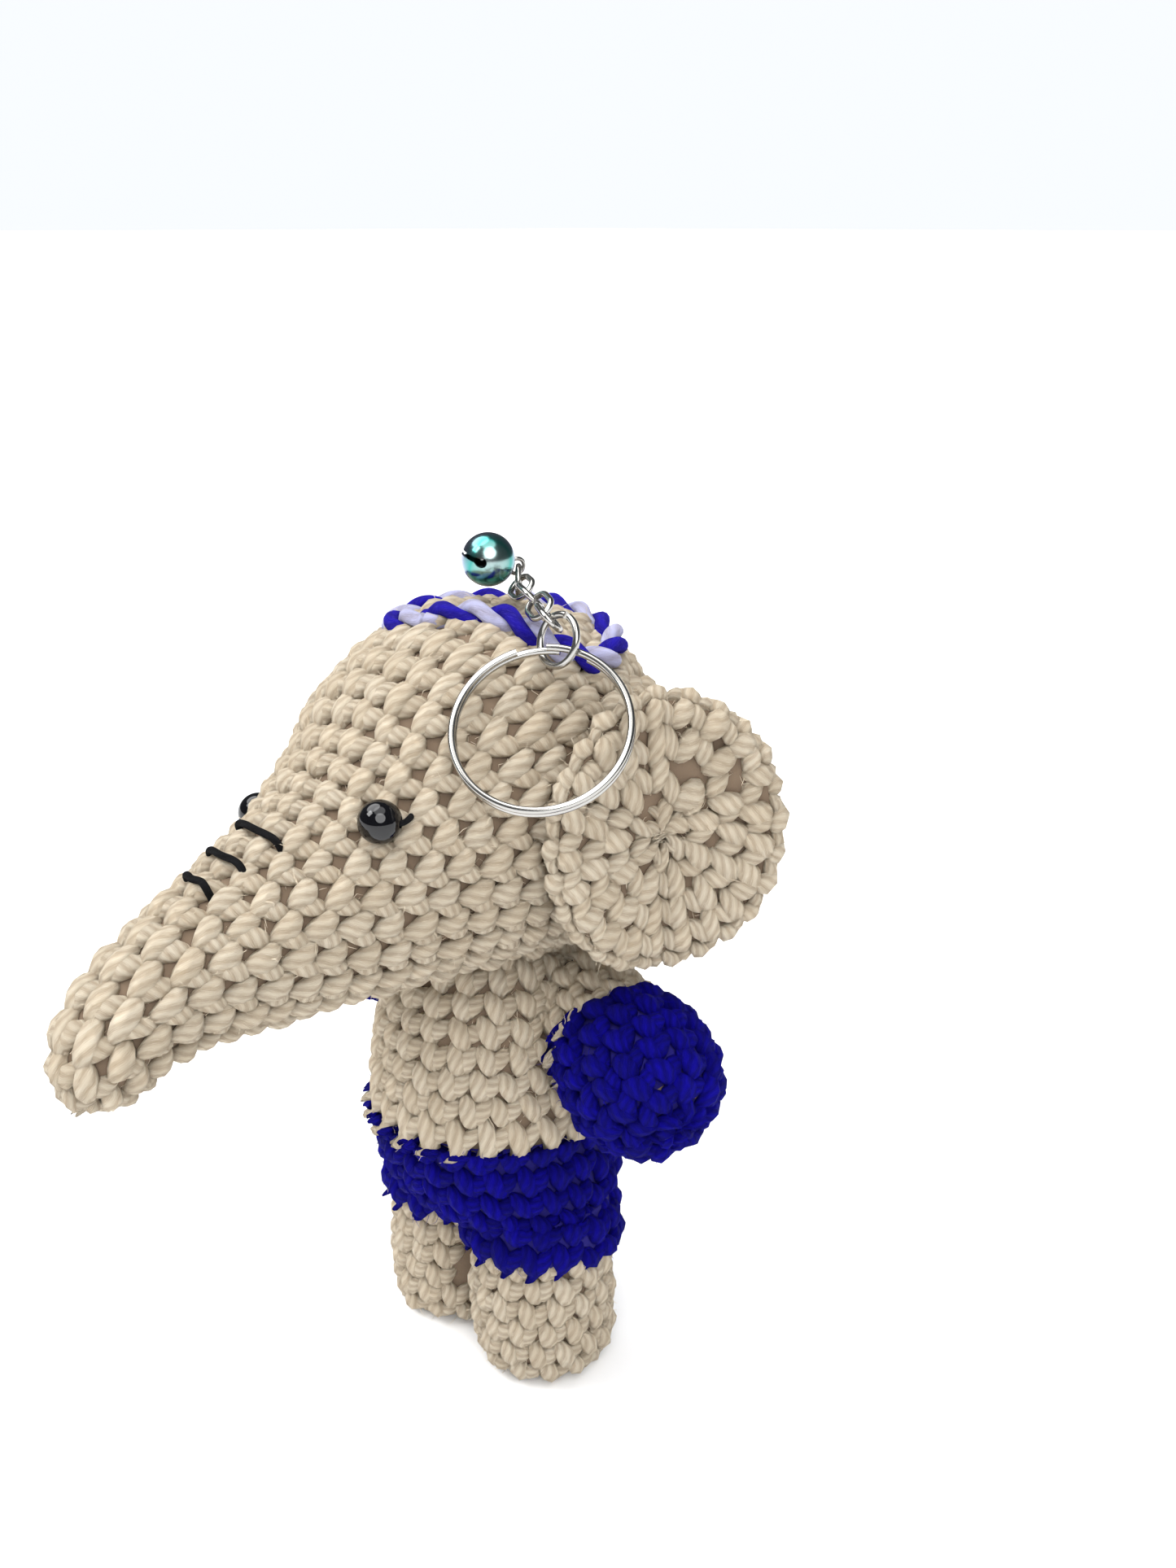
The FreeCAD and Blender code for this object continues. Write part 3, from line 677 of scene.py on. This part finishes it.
# %% Ears
EAR_LONG, EAR_TALL, EAR_HALF_THICK = 18.2, 20.8, 2.2
EAR_VALLEY = np.array((31.8, 3.0, 101.5))
VALLEY_RADIUS = 9.0
FACE_STEPS, RIM_STEPS = 13, 9
FRONT_TURN, REAR_TURN = math.radians(-12.0), math.radians(40.0)
FRONT = np.array((math.sin(FRONT_TURN), -math.cos(FRONT_TURN), 0))
REAR = np.array((math.sin(REAR_TURN), math.cos(REAR_TURN), 0))
OUTWARD = unit(FRONT + REAR)
BACKWARD = np.array((-OUTWARD[1], OUTWARD[0], 0))
UPWARD = np.array((0, 0, 1.0))
HALF_TURN = (math.pi - math.acos(FRONT @ REAR)) / 2


class Ear(Tube):
    """A disc's two faces and its rim as one skin, bent along the valley."""

    def __init__(self, mirror=False, shift=(0, 0, 0), turn=0.0):
        self.mirror, self.shift, self.turn = mirror, np.array(shift, float), math.radians(turn)
        rim = EAR_LONG - EAR_HALF_THICK
        arc = np.linspace(-np.pi / 2, np.pi / 2, RIM_STEPS)
        face = np.linspace(0.5, rim, FACE_STEPS + 1)[:-1]
        other_face = np.linspace(rim, 0.5, FACE_STEPS + 1)[1:]
        flat = np.full(FACE_STEPS, EAR_HALF_THICK)
        self.radius = np.concatenate([face, rim + EAR_HALF_THICK * np.cos(arc), other_face])
        self.offset = np.concatenate([-flat, EAR_HALF_THICK * np.sin(arc), flat])
        steps = np.hypot(np.diff(self.radius), np.diff(self.offset))
        self.along = np.concatenate([[0], np.cumsum(steps)])
        self.length = self.along[-1]
        self.girths = 2 * np.pi * self.radius * (1 + EAR_TALL / EAR_LONG) / 2

    def at(self, s, angle):
        s = np.clip(s, 0, self.length)
        radius = np.interp(s, self.along, self.radius)
        offset = np.interp(s, self.along, self.offset)
        across = radius * np.cos(angle)
        up = radius * np.sin(angle) * EAR_TALL / EAR_LONG
        bend = np.clip(across / VALLEY_RADIUS, -HALF_TURN, HALF_TURN)
        rest = across - bend * VALLEY_RADIUS
        cosine, sine = np.cos(bend)[:, None], np.sin(bend)[:, None]
        tangent = cosine * BACKWARD + sine * OUTWARD
        normal = cosine * OUTWARD - sine * BACKWARD
        points = (EAR_VALLEY + OUTWARD * VALLEY_RADIUS * (1 - cosine)
                  + BACKWARD * VALLEY_RADIUS * sine + tangent * rest[:, None]
                  + normal * offset[:, None] + UPWARD * up[:, None])
        return self.other_side(points) if self.mirror else points

    def other_side(self, points):
        """Mirror the ear, and turn and shift it about its valley."""
        pivot = EAR_VALLEY * (-1, 1, 0)
        x, y, z = (points * (-1, 1, 1) - pivot).T
        cosine, sine = math.cos(self.turn), math.sin(self.turn)
        turned = np.stack([x * cosine - y * sine, x * sine + y * cosine, z], axis=1)
        return pivot + turned + self.shift

    def lifted(self, s, angle, height):
        height = -np.asarray(height) if self.mirror else height
        return super().lifted(s, angle, height)


EARS = {"left_ear": Ear(), "right_ear": Ear(mirror=True, shift=(1.4, 9.5, -1.0), turn=-13.0)}
for name, tube in EARS.items():
    soft_piece(name, name, tube, CREAM, CREAM_PAINTED_SHADE, "cream_yarn", flip_after=tube.length / 2,
               wide=4.9)

# %% [markdown]
# ## Strands
#
# The headband and the black threads are single strands that follow a line. A curve with a
# round bevel would do, but then its pattern wouldn't run evenly along it, so each strand is a
# grid wrapped round a thin tube, with pattern coordinates by length.

# %% Strand
STRAND_STEP = 0.35             # its faces are this long
STRAND_PATTERN = 4.0           # one repeat of its pattern takes this length
STRAND_MERGE = 2e-6
STRAND_SHADE = 0.6


def along_line(points, closed=False):
    """Each point's distance along the line, and two directions square to the line there."""
    ahead = np.roll(points, -1, axis=0) - np.roll(points, 1, axis=0)
    if not closed:
        ahead[0], ahead[-1] = points[1] - points[0], points[-1] - points[-2]
    ahead = unit(ahead)
    side = np.cross(ahead[0], (0, 0, 1)) + 1e-6
    sides = []
    for direction in ahead:
        side = unit(side - direction * (side @ direction))
        sides.append(side)
    sides = np.array(sides)
    steps = np.linalg.norm(np.diff(points, axis=0), axis=1)
    return np.concatenate([[0], np.cumsum(steps)]), sides, np.cross(ahead, sides)


def strand(name, points, radius, material, sides=10):
    """One strand of yarn along a line, as a tube of even thickness."""
    _, first, second = along_line(points)
    tube = Tube([(p, a * radius, b * radius) for p, a, b in zip(points, first, second)],
                samples=3 * len(points))
    shape = bmesh.new()
    uv = shape.loops.layers.uv.new("UVMap")
    s, angle = grid_on(shape, tube, sides, max(8, int(tube.length / STRAND_STEP)))
    for face in shape.faces:
        for loop in face.loops:
            place = (loop.vert.co.y + 0.5) * tube.length / STRAND_PATTERN
            loop[uv].uv = (loop.vert.co.x, place)
    wrap(shape, tube.at(s, angle), STRAND_MERGE)
    piece = closed_piece(name, shape, material)
    shade = piece.data.attributes.new("shade", "FLOAT", "POINT")
    shade.data.foreach_set("value", np.full(len(piece.data.vertices), STRAND_SHADE, "f"))
    return piece


def sewn_on(piece, node):
    """Let a strand ride on the body in place of its node."""
    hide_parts(node)
    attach(piece, "elephant")


# %% [markdown]
# ## The headband
#
# The headband is a cord of two yarns twisted together, one lilac and one blue, lying round the
# crown. Its line is drawn in plan, dropped on the head, and smoothed. Each yarn then winds
# round that line half a turn from the other.

# %% Headband
HEADBAND = [(-8, -9.5), (0.5, -6), (8.5, -2.8), (15.5, -1.5), (19, 4.5), (15, 12.5),
            (6.5, 17), (-4, 16), (-12.5, 10.5), (-16.5, 2), (-15, -6)]
CORD_LIFT = 2.05               # the cord's middle above the head
TWIST_LENGTH = 10.5            # one full twist takes this length of cord
STRAND_RADIUS, STRAND_OFF_MIDDLE = 1.12, 0.98


def head_top(x, y):
    """Height of the head's surface above a point of the plan."""
    rows = np.array(HEAD_LINE)
    z, radius = np.interp(y, rows[:, 0], rows[:, 1]), np.interp(y, rows[:, 0], rows[:, 2])
    return z + math.sqrt(max(radius ** 2 - x ** 2, 1.0))


def smooth_ring(points, steps=14):
    """Points along a smooth closed curve that runs near the given ones."""
    curve = bpy.data.curves.new("line", "CURVE")
    curve.dimensions = "3D"
    line = curve.splines.new("NURBS")
    line.points.add(len(points) - 1)
    for point, place in zip(line.points, points):
        point.co = (*place, 1)
    line.order_u = 3
    line.use_cyclic_u = True
    line.resolution_u = steps
    holder = bpy.data.objects.new("line", curve)
    mesh = bpy.data.meshes.new_from_object(holder)
    found = np.array([vertex.co[:] for vertex in mesh.vertices])
    bpy.data.objects.remove(holder)
    bpy.data.curves.remove(curve)
    bpy.data.meshes.remove(mesh)
    return found


crown = smooth_ring([(x, y, head_top(x, y) + CORD_LIFT) for x, y in HEADBAND])
distance, first, second = along_line(crown, closed=True)
twists = round(distance[-1] / TWIST_LENGTH)
for start, name, thread in ((0.0, "lilac", LILAC), (math.pi, "blue", STRAND_BLUE)):
    turn = (distance / distance[-1] * twists * FULL_TURN + start)[:, None]
    line = crown + (first * np.cos(turn) + second * np.sin(turn)) * STRAND_OFF_MIDDLE
    line = np.concatenate([line, line[:1]])
    sewn_on(strand("headband_" + name, line, STRAND_RADIUS, thread, sides=12),
            "headband_cord")
print("headband twists", twists, "times")

# %% [markdown]
# ## Trunk stitches and eye threads
#
# Three black stitches lie over the trunk as its wrinkles, and dive into the fabric at both
# ends. Each eye bead is held by a thread through its hole.

# %% Black threads
TRUNK_STITCHES = ((-38.5, 22.0), (-44.0, 21.0), (-48.5, 15.0))    # place, half its angle
TRUNK_THREAD, EYE_THREAD = 0.52, 0.42                             # thread radii
STITCH_POINTS = 15
TOP_OF_TRUNK = -90
height = np.full(STITCH_POINTS, 0.75)
height[[1, -2]] = 0.3
height[[0, -1]] = -1.6
for index, (y, half) in enumerate(TRUNK_STITCHES):
    place = np.interp(y, HEAD.rows[:, 1], HEAD.along)
    angles = np.radians(TOP_OF_TRUNK + np.linspace(-half, half, STITCH_POINTS))
    wobble = np.sin(np.linspace(0, 9 + index, STITCH_POINTS)) * 0.15
    arc = HEAD.lifted(place + wobble, angles, height)
    sewn_on(strand(f"trunk_thread_{index + 1}", arc, TRUNK_THREAD, BLACK),
            "trunk_wrinkle_stitches")

BEADS = {"left": (13.4, -31.0, 107.2), "right": (-17.2, -30.0, 99.9)}
# how far aside and how deep the thread runs, through the bead and down into the head
EYE_PATH = ((-3.2, 4.5), (-3.3, 1.2), (-2.6, 0.1), (0, 0), (2.6, 0.1), (3.3, 1.2), (3.2, 4.5))
for name, bead in BEADS.items():
    centre = np.array(bead)
    facing = unit(centre * (1, 1, 0) - (0, -8.0, 0))
    across = np.array((-facing[1], facing[0], 0))
    path = np.array([centre + across * away - facing * depth for away, depth in EYE_PATH])
    sewn_on(strand("eye_thread_" + name, path, EYE_THREAD, BLACK), "eye_threads")
print(len(TRUNK_STITCHES), "stitches on the trunk and", len(BEADS), "eye threads")

# %% [markdown]
# ## Metal and beads
#
# The rings, links, bell and beads keep their engineered shapes, and only get their plating.
# The bell's plating is tinted green and blue where it turns away, as thin coatings are.

# %% The bell's plating
BELL_TINTS = ((0.2, (0.50, 0.51, 0.52)), (0.55, (0.05, 0.30, 0.27)), (0.95, (0.30, 0.34, 0.46)))


def bell_material():
    """Plating that turns green and then blue towards the bell's outline, in patches."""
    material, nodes, links, surface = new_material("bell_plate")
    facing = nodes.new("ShaderNodeLayerWeight")
    set_inputs(facing, {"Blend": 0.35})
    place = nodes.new("ShaderNodeTexCoord")
    noise = nodes.new("ShaderNodeTexNoise")
    set_inputs(noise, {"Scale": 160.0})
    links.new(place.outputs["Object"], noise.inputs["Vector"])
    patches = math_node(nodes, links, "MULTIPLY_ADD", noise.outputs["Fac"], 0.9, -0.15)
    share = math_node(nodes, links, "ADD", patches, facing.outputs["Facing"])
    ramp = nodes.new("ShaderNodeValToRGB")
    near, middle, far = BELL_TINTS
    elements = ramp.color_ramp.elements
    elements[0].position, elements[1].position = near[0], far[0]
    elements[0].color, elements[1].color = (*near[1], 1), (*far[1], 1)
    elements.new(middle[0]).color = (*middle[1], 1)
    links.new(share, ramp.inputs["Fac"])
    links.new(ramp.outputs["Color"], surface.inputs["Base Color"])
    set_inputs(surface, {"Metallic": 1.0, "Roughness": 0.2})
    return material


# %% Finishes of the engineered parts
METAL = ["crown_ring", "chain_link_1", "chain_link_2", "chain_link_3", "chain_link_4",
         "jump_ring", "key_ring", "bell_loop", "bell_ball"]
EYES = ["left_eye_bead", "right_eye_bead"]
# the stuffing takes the forms' dark painted shade
FILLINGS = ["head_stuffing", "body_stuffing", "left_arm_stuffing", "right_arm_stuffing"]
for names, material, slot in ((METAL, NICKEL, "nickel_plate"),
                              (["bell_shell"], bell_material(), "bell_plate"),
                              (EYES, BEAD, "black_bead"),
                              (FILLINGS, CREAM_PAINTED_SHADE, "fibre_filling")):
    for node in names:
        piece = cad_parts[node]
        piece.data.materials.clear()
        piece.data.materials.append(material)
        print(node, len(piece.data.vertices), "points")

# %% [markdown]
# ## Floor, light and camera
#
# A white table under an overcast sky: three wide suns leave only soft shadows, and a window
# close by at the left brings out the relief of the yarn. The room looks white behind the
# table, but it lights the toy less than it shows, and is dimmer still in the metal. The camera
# stands close, so the trunk reaches towards it.

# %% Floor and room
scene = bpy.context.scene
bpy.ops.mesh.primitive_plane_add(size=60, location=(0, 0, -0.0004))
floor = bpy.context.object
floor.name = "table_top"
floor.data.materials.append(plain_material("pale_table", (0.92, 0.92, 0.92), 0.9))

ROOM_COLOUR = (0.93, 0.96, 1.0)
ROOM_LIGHT, ROOM_SEEN, ROOM_MIRRORED = 0.46, 0.56, -0.34    # the last two are added to it
world = bpy.data.worlds.new("room")
scene.world = world
world.use_nodes = True
nodes, links = world.node_tree.nodes, world.node_tree.links
rays = nodes.new("ShaderNodeLightPath")
strength = math_node(nodes, links, "MULTIPLY_ADD", rays.outputs["Is Camera Ray"], ROOM_SEEN,
                     ROOM_LIGHT)
strength = math_node(nodes, links, "MULTIPLY_ADD", rays.outputs["Is Glossy Ray"],
                     ROOM_MIRRORED, strength)
nodes["Background"].inputs[0].default_value = (*ROOM_COLOUR, 1)
links.new(strength, nodes["Background"].inputs[1])

# %% Lights
WINDOW_PLACE, WINDOW_SIZE, WINDOW_POWER = Vector((-0.30, -0.55, 0.75)), 0.35, 3.2
TOY_MIDDLE = Vector((0, 0.01, 0.07))
SUNS = {"sky": (28, -75, 2.3), "overcast": (10, 60, 1.1), "doorway": (50, 58, 2.5)}
SUN_WIDTH = 50


def lamp(name, kind, power, rotation):
    """A light of one kind, turned the right way and put in the scene."""
    light = bpy.data.lights.new(name, kind)
    light.energy = power
    holder = bpy.data.objects.new(name, light)
    holder.rotation_euler = rotation
    scene.collection.objects.link(holder)
    return holder


aim = (TOY_MIDDLE - WINDOW_PLACE).to_track_quat("-Z", "Y").to_euler()
window = lamp("window", "AREA", WINDOW_POWER, aim)
window.location = WINDOW_PLACE
window.data.size = WINDOW_SIZE
for name, (tilt, turn, power) in SUNS.items():
    sun = lamp(name, "SUN", power, (math.radians(tilt), 0, math.radians(turn)))
    sun.data.angle = math.radians(SUN_WIDTH)
scene.view_settings.view_transform = "Standard"

# %% Camera
CAMERA_PLACE = (0.1657, -0.12435, 0.1780)
CAMERA_TILT, CAMERA_TURN = 70.0, 45.0
LENS, SENSOR = 35.5, 36.0
lens = bpy.data.cameras.new("camera")
lens.lens, lens.sensor_width = LENS, SENSOR
lens.clip_start = 0.01
camera = bpy.data.objects.new("camera", lens)
camera.location = CAMERA_PLACE
camera.rotation_euler = (math.radians(CAMERA_TILT), 0, math.radians(CAMERA_TURN))
scene.collection.objects.link(camera)
scene.camera = camera
